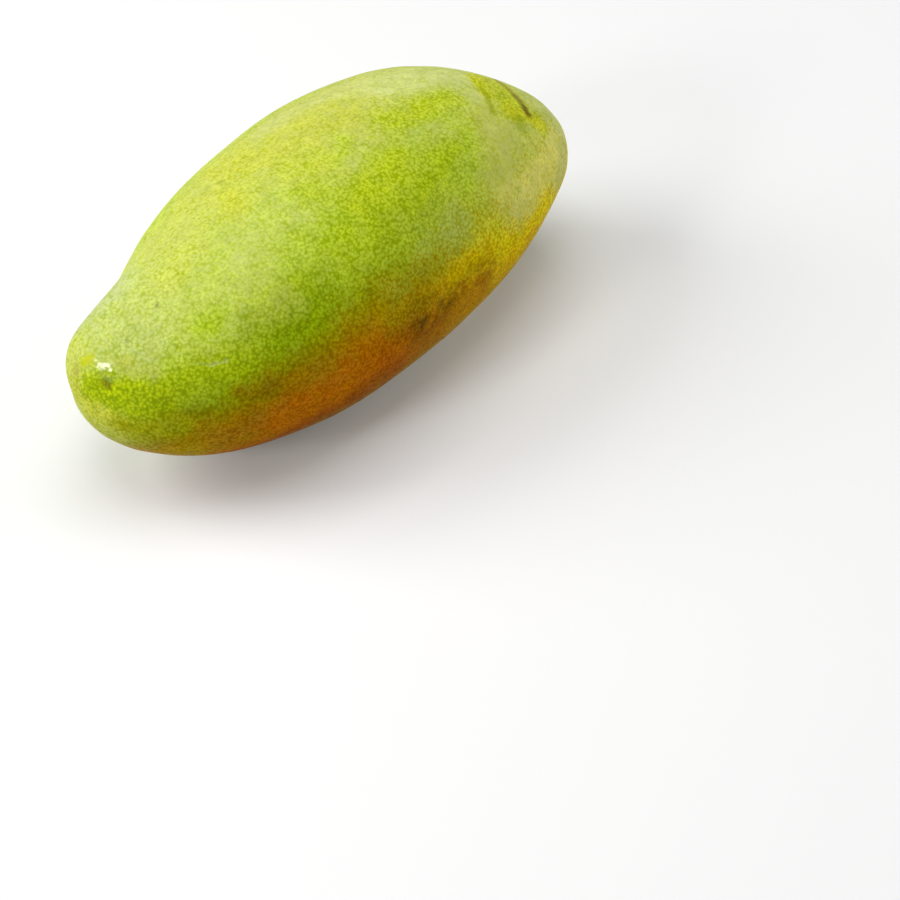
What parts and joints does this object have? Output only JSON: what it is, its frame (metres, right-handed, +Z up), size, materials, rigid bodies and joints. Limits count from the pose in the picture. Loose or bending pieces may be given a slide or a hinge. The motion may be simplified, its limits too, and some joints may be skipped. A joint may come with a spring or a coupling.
{
  "type": "mango",
  "caption": "Whole green mango of the long tapering kind, lying on its cheek, with its beak, sinus and stem scar.",
  "frame": {"origin": "middle of the bounding box, on the surface that the fruit lies on", "axes": "+X from the tip to the stem end, +Y to the belly side that has the beak, +Z up through the cheeks"},
  "size_m": [0.159, 0.0794, 0.0667],
  "materials": {
    "mango_skin": "waxy green skin with a fine pale net, a grey bloom and a yellow-orange flank, semi-matt"
  },
  "bodies": {
    "root": {"mango": "mango_skin"}
  },
  "joints": []
}
